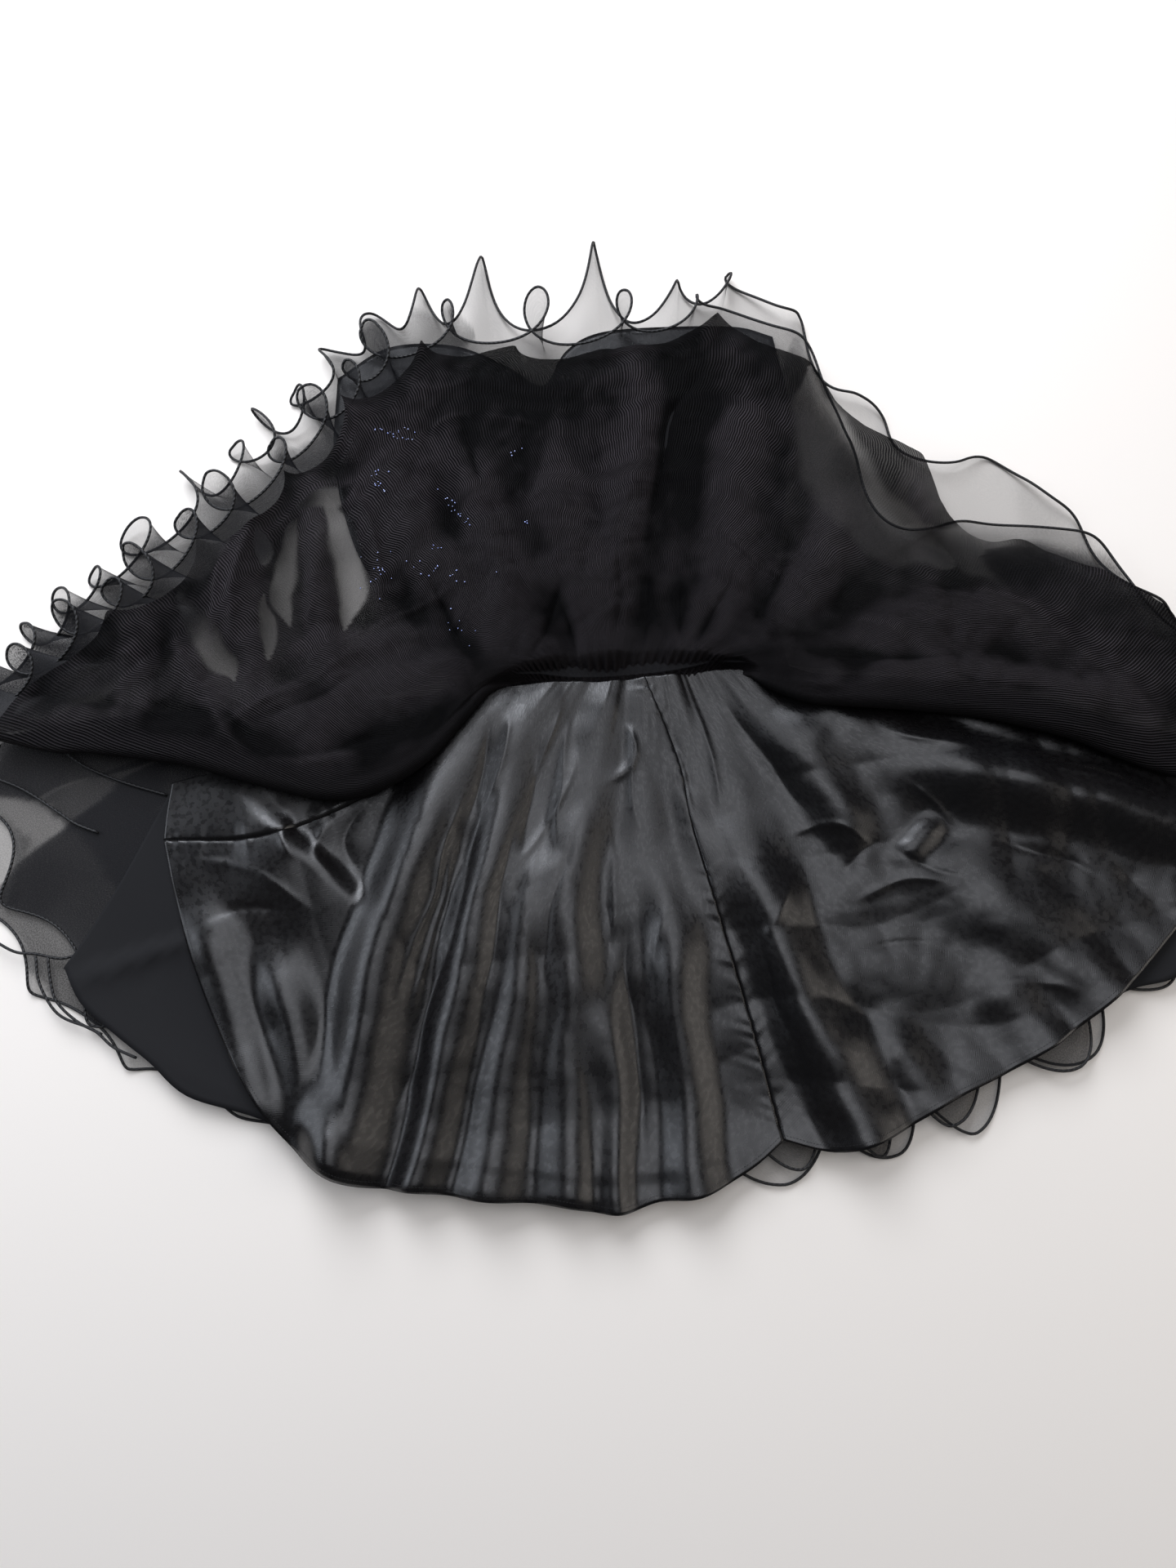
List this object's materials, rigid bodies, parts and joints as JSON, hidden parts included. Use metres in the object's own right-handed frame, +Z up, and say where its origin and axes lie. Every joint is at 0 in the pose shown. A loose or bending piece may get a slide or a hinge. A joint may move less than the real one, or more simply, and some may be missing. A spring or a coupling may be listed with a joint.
{
  "type": "mini dress",
  "caption": "Strapless mini dress laid on its back, sheer fluted overskirt turned up over the bodice and a satin underskirt spread below.",
  "frame": {"origin": "middle of the bounding box at the table the dress lies on", "axes": "+X across the dress to the right as it is seen, +Y from hem to neckline, +Z up from the table"},
  "size_m": [1.289, 0.9286, 0.0472],
  "materials": {
    "bodice": "matte black cloth with scattered beads",
    "satin": "soft-lustre black satin",
    "satin_wrong_side": "matte back of black satin",
    "crinkle_net": "dense crinkled black net",
    "organza": "sheer black organza with a corded edge"
  },
  "bodies": {
    "root": {"bodice_front": "bodice", "bodice_back": "bodice", "satin_front_right": "satin", "satin_front_centre": "satin", "satin_side_left": "satin", "satin_back": "satin_wrong_side", "overskirt_front_inner": "crinkle_net", "overskirt_front_middle": "organza", "overskirt_front_outer": "organza", "overskirt_back_inner": "organza", "overskirt_back_outer": "organza"}
  },
  "joints": []
}
